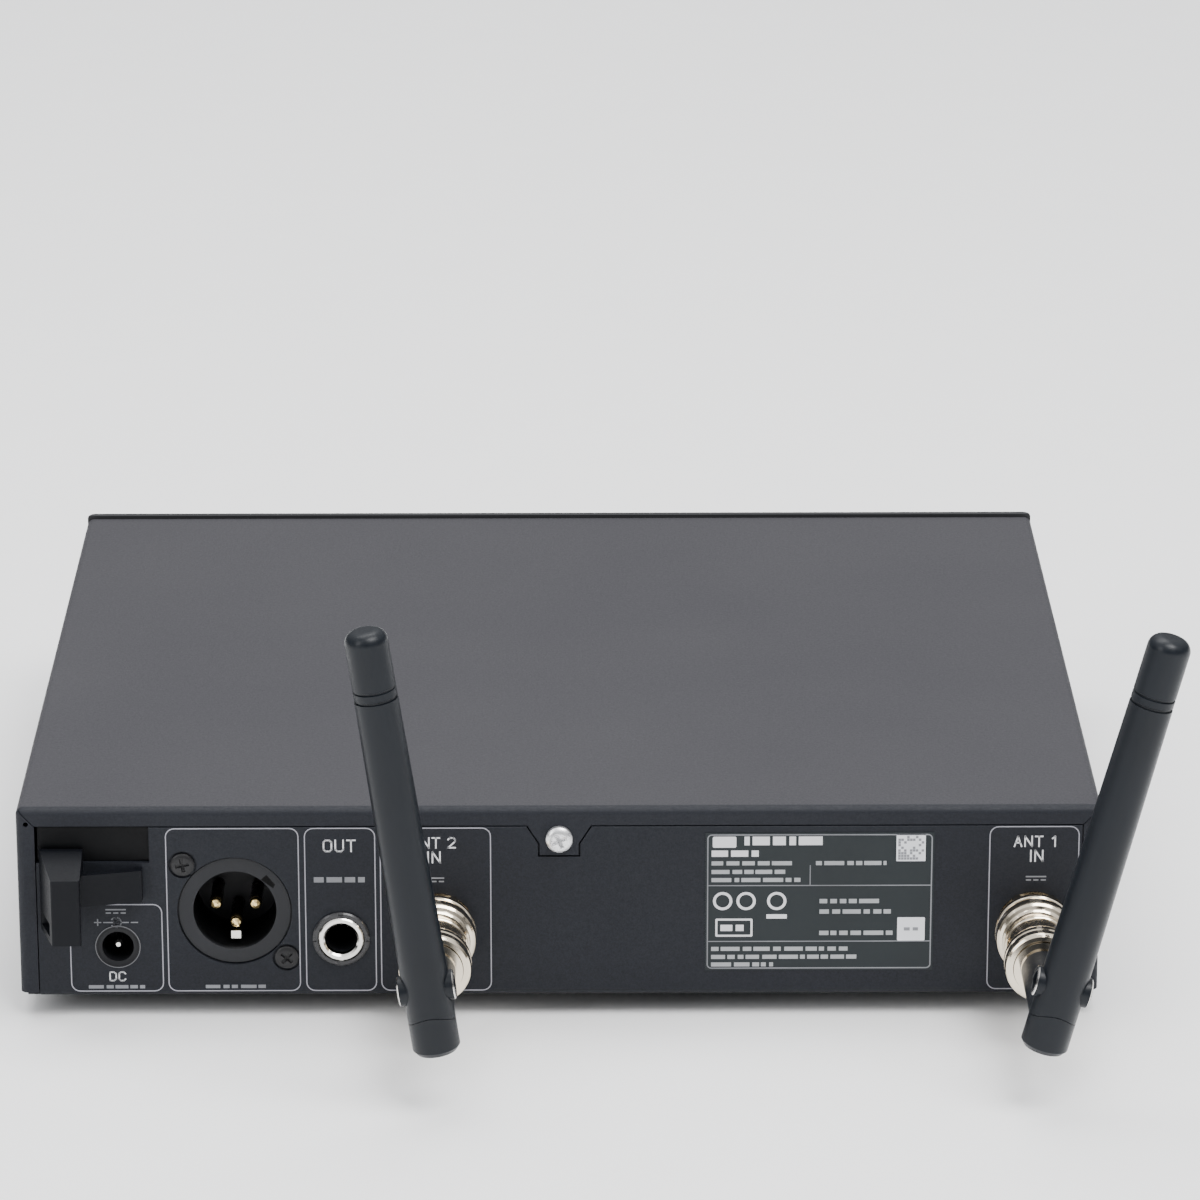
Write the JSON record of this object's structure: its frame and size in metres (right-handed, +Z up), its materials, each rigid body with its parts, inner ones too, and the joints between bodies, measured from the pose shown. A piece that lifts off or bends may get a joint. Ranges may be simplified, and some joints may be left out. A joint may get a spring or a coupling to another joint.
{
  "type": "half-rack wireless microphone receiver",
  "caption": "Half-rack wireless microphone receiver: folded steel case, rear audio and power sockets, and hinged rod antennas on bayonet sockets.",
  "frame": {"origin": "centre of the flat underside of the steel case", "axes": "+Z up; +Y towards the rear panel with the sockets; +X to the right seen from the front"},
  "size_m": [0.2244, 0.2485, 0.0971],
  "materials": {
    "powder_coat": "textured matt",
    "zinc": "zinc plated",
    "black_screw": "black plated",
    "rubber": "matt",
    "black_plastic": "fine grain",
    "key_plastic": "satin",
    "clear_plastic": "smoked clear",
    "dark_glass": "gloss",
    "circuit_board": "solder mask",
    "ribbon": "satin",
    "nickel": "bright nickel plate",
    "gold": "gold plate",
    "dark_casting": "satin black",
    "white_plastic": "satin",
    "label": "matt film",
    "rod_rubber": "satin",
    "copper": "bare"
  },
  "bodies": {
    "case": {"base_chassis": "powder_coat", "top_cover": "powder_coat", "screw_bracket": "zinc", "rear_cover_screw": "zinc", "side_cover_screws": "black_screw", "rubber_feet": "rubber", "front_fascia": "black_plastic", "display_window": "clear_plastic", "display_module": "dark_glass", "dial_encoder": "zinc", "light_pipes": "clear_plastic", "switches_and_lamps": "black_plastic", "front_board": "circuit_board", "main_board": "circuit_board", "press_in_nuts": "zinc", "board_screws": "zinc", "radio_shield": "zinc", "processor_chips": "black_plastic", "power_components": "black_plastic", "ribbon_cable": "ribbon", "ribbon_sockets": "ribbon", "dc_inlet_housing": "black_plastic", "dc_inlet_pin": "nickel", "xlr_shell": "dark_casting", "xlr_insert": "black_plastic", "xlr_contacts": "gold", "xlr_earth_contact": "nickel", "xlr_screws": "black_screw", "jack_housing": "black_plastic", "jack_bushing": "nickel", "jack_nut": "dark_casting", "jack_contacts": "nickel", "bnc_socket_1": "nickel", "bnc_socket_2": "nickel", "bnc_nuts": "nickel", "bnc_insulators": "white_plastic", "bnc_centre_contacts": "gold", "cable_clip": "black_plastic", "type_label": "label"},
    "antenna_1_coupling": {"antenna_1_coupling": "nickel"},
    "antenna_1_swivel": {"antenna_1_plug": "nickel", "antenna_1_centre_pin": "gold", "antenna_1_elbow": "black_plastic", "antenna_1_hinge_pin": "zinc"},
    "antenna_1_rod": {"antenna_1_rod": "rod_rubber", "antenna_1_element": "copper", "antenna_1_cap": "rod_rubber"},
    "antenna_2_coupling": {"antenna_2_coupling": "nickel"},
    "antenna_2_swivel": {"antenna_2_plug": "nickel", "antenna_2_centre_pin": "gold", "antenna_2_elbow": "black_plastic", "antenna_2_hinge_pin": "zinc"},
    "antenna_2_rod": {"antenna_2_rod": "rod_rubber", "antenna_2_element": "copper", "antenna_2_cap": "rod_rubber"},
    "standby_button": {"standby_button": "key_plastic"},
    "escape_button": {"escape_button": "key_plastic"},
    "sync_button": {"sync_button": "key_plastic"},
    "dial_shaft": {"dial_shaft": "zinc"},
    "jog_dial": {"jog_dial": "black_plastic"}
  },
  "joints": [
    {"name": "antenna_1_unlock", "type": "hinge", "parent": "case", "child": "antenna_1_coupling", "pos_m": [-0.093, 0.0935, 0.0146], "axis": [0, 1, 0], "range_deg": [-90, 0]},
    {"name": "antenna_1_turn", "type": "hinge", "parent": "case", "child": "antenna_1_swivel", "pos_m": [-0.093, 0.0935, 0.0146], "axis": [0, 1, 0], "continuous": true},
    {"name": "antenna_1_fold", "type": "hinge", "parent": "antenna_1_swivel", "child": "antenna_1_rod", "pos_m": [-0.09471, 0.1405, 0.02098], "axis": [-0.9659, 0, -0.2588], "range_deg": [0, 90]},
    {"name": "antenna_2_unlock", "type": "hinge", "parent": "case", "child": "antenna_2_coupling", "pos_m": [0.024, 0.0935, 0.0146], "axis": [0, 1, 0], "range_deg": [-90, 0]},
    {"name": "antenna_2_turn", "type": "hinge", "parent": "case", "child": "antenna_2_swivel", "pos_m": [0.024, 0.0935, 0.0146], "axis": [0, 1, 0], "continuous": true},
    {"name": "antenna_2_fold", "type": "hinge", "parent": "antenna_2_swivel", "child": "antenna_2_rod", "pos_m": [0.02499, 0.1405, 0.02113], "axis": [-0.9888, 0, 0.1495], "range_deg": [0, 90]},
    {"name": "standby_press", "type": "slide", "parent": "case", "child": "standby_button", "axis": [0, 1, 0], "range_m": [0, 0.0005], "stiffness_N_per_m": 1500, "springref_m": -0.0002},
    {"name": "escape_press", "type": "slide", "parent": "case", "child": "escape_button", "axis": [0, 1, 0], "range_m": [0, 0.0005], "stiffness_N_per_m": 1500, "springref_m": -0.0002},
    {"name": "sync_press", "type": "slide", "parent": "case", "child": "sync_button", "axis": [0, 1, 0], "range_m": [0, 0.0005], "stiffness_N_per_m": 1500, "springref_m": -0.0002},
    {"name": "dial_press", "type": "slide", "parent": "case", "child": "dial_shaft", "axis": [0, 1, 0], "range_m": [0, 0.0005], "stiffness_N_per_m": 3000, "springref_m": -0.0002},
    {"name": "dial_turn", "type": "hinge", "parent": "dial_shaft", "child": "jog_dial", "pos_m": [0.042, -0.0935, 0.0197], "axis": [0, 1, 0], "continuous": true}
  ]
}
